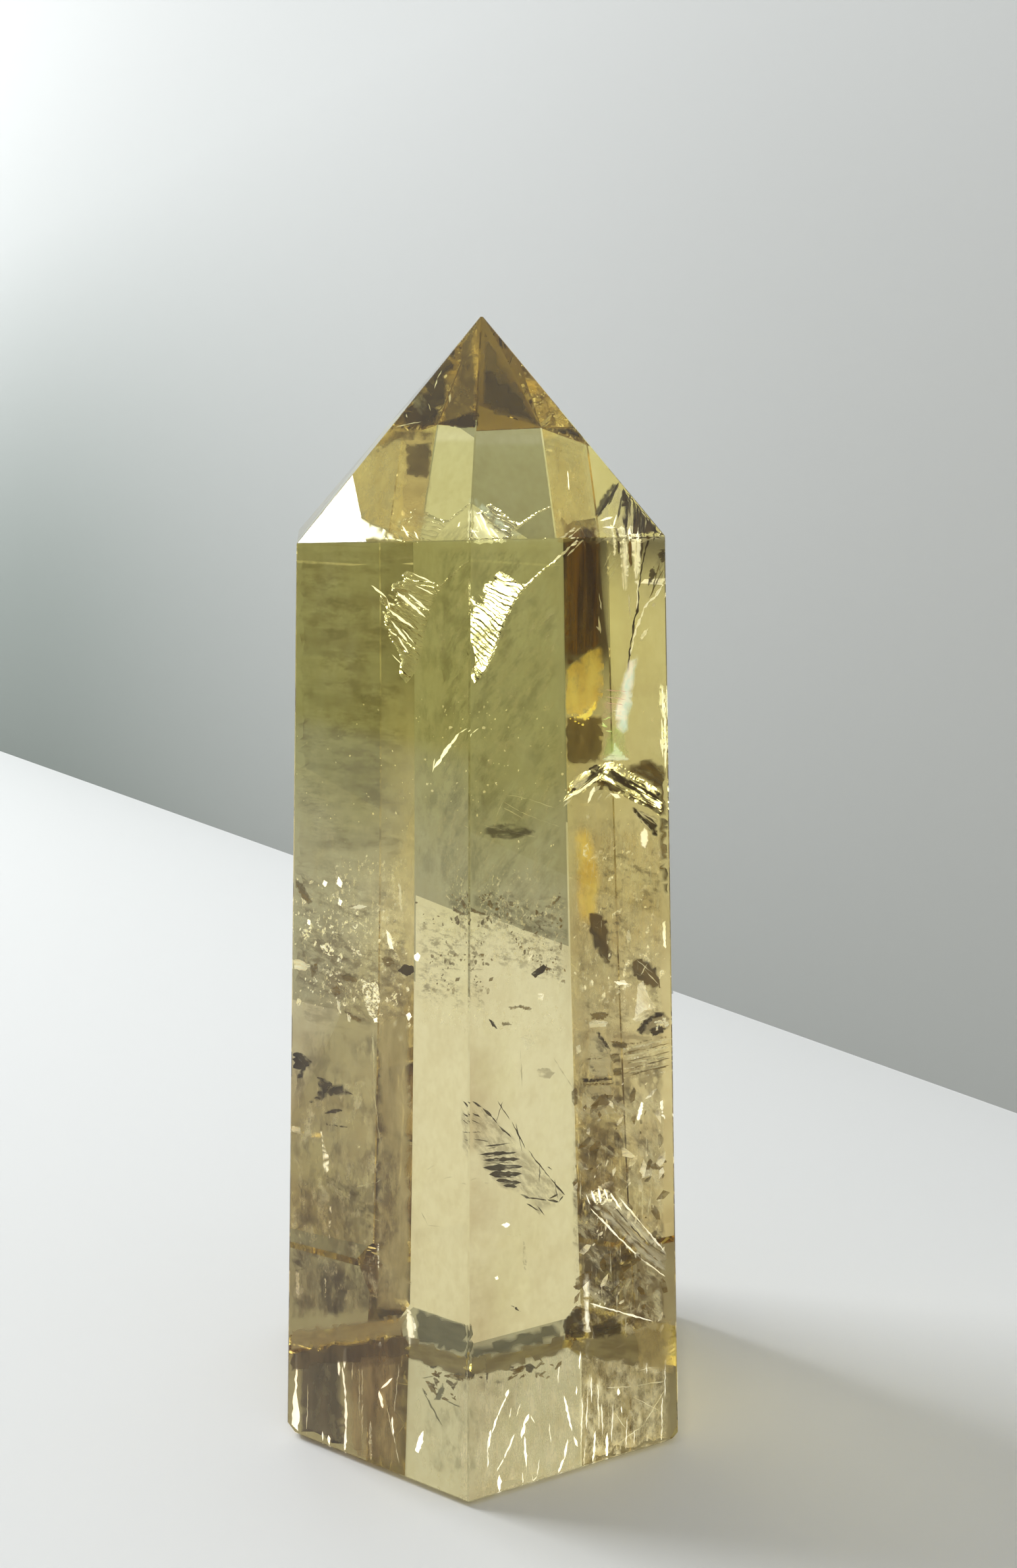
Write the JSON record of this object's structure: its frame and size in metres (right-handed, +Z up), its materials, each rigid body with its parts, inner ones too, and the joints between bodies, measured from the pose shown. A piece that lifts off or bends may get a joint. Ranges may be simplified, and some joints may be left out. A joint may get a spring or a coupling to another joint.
{
  "type": "polished quartz point",
  "caption": "Polished six-sided quartz point, clear golden yellow to smoky, tapering from a flat base to a pointed six-facet tip, with veils and fractures inside.",
  "frame": {"origin": "centre of the flat base, on the surface that the stone stands on", "axes": "+Z up along the stone to its tip, -Y to the front, where one upright edge points, +X to the right"},
  "size_m": [0.0486, 0.0523, 0.12],
  "materials": {
    "citrine": "clear golden yellow quartz with smoky zones, polished flat"
  },
  "bodies": {
    "root": {"quartz_point": "citrine"}
  },
  "joints": []
}
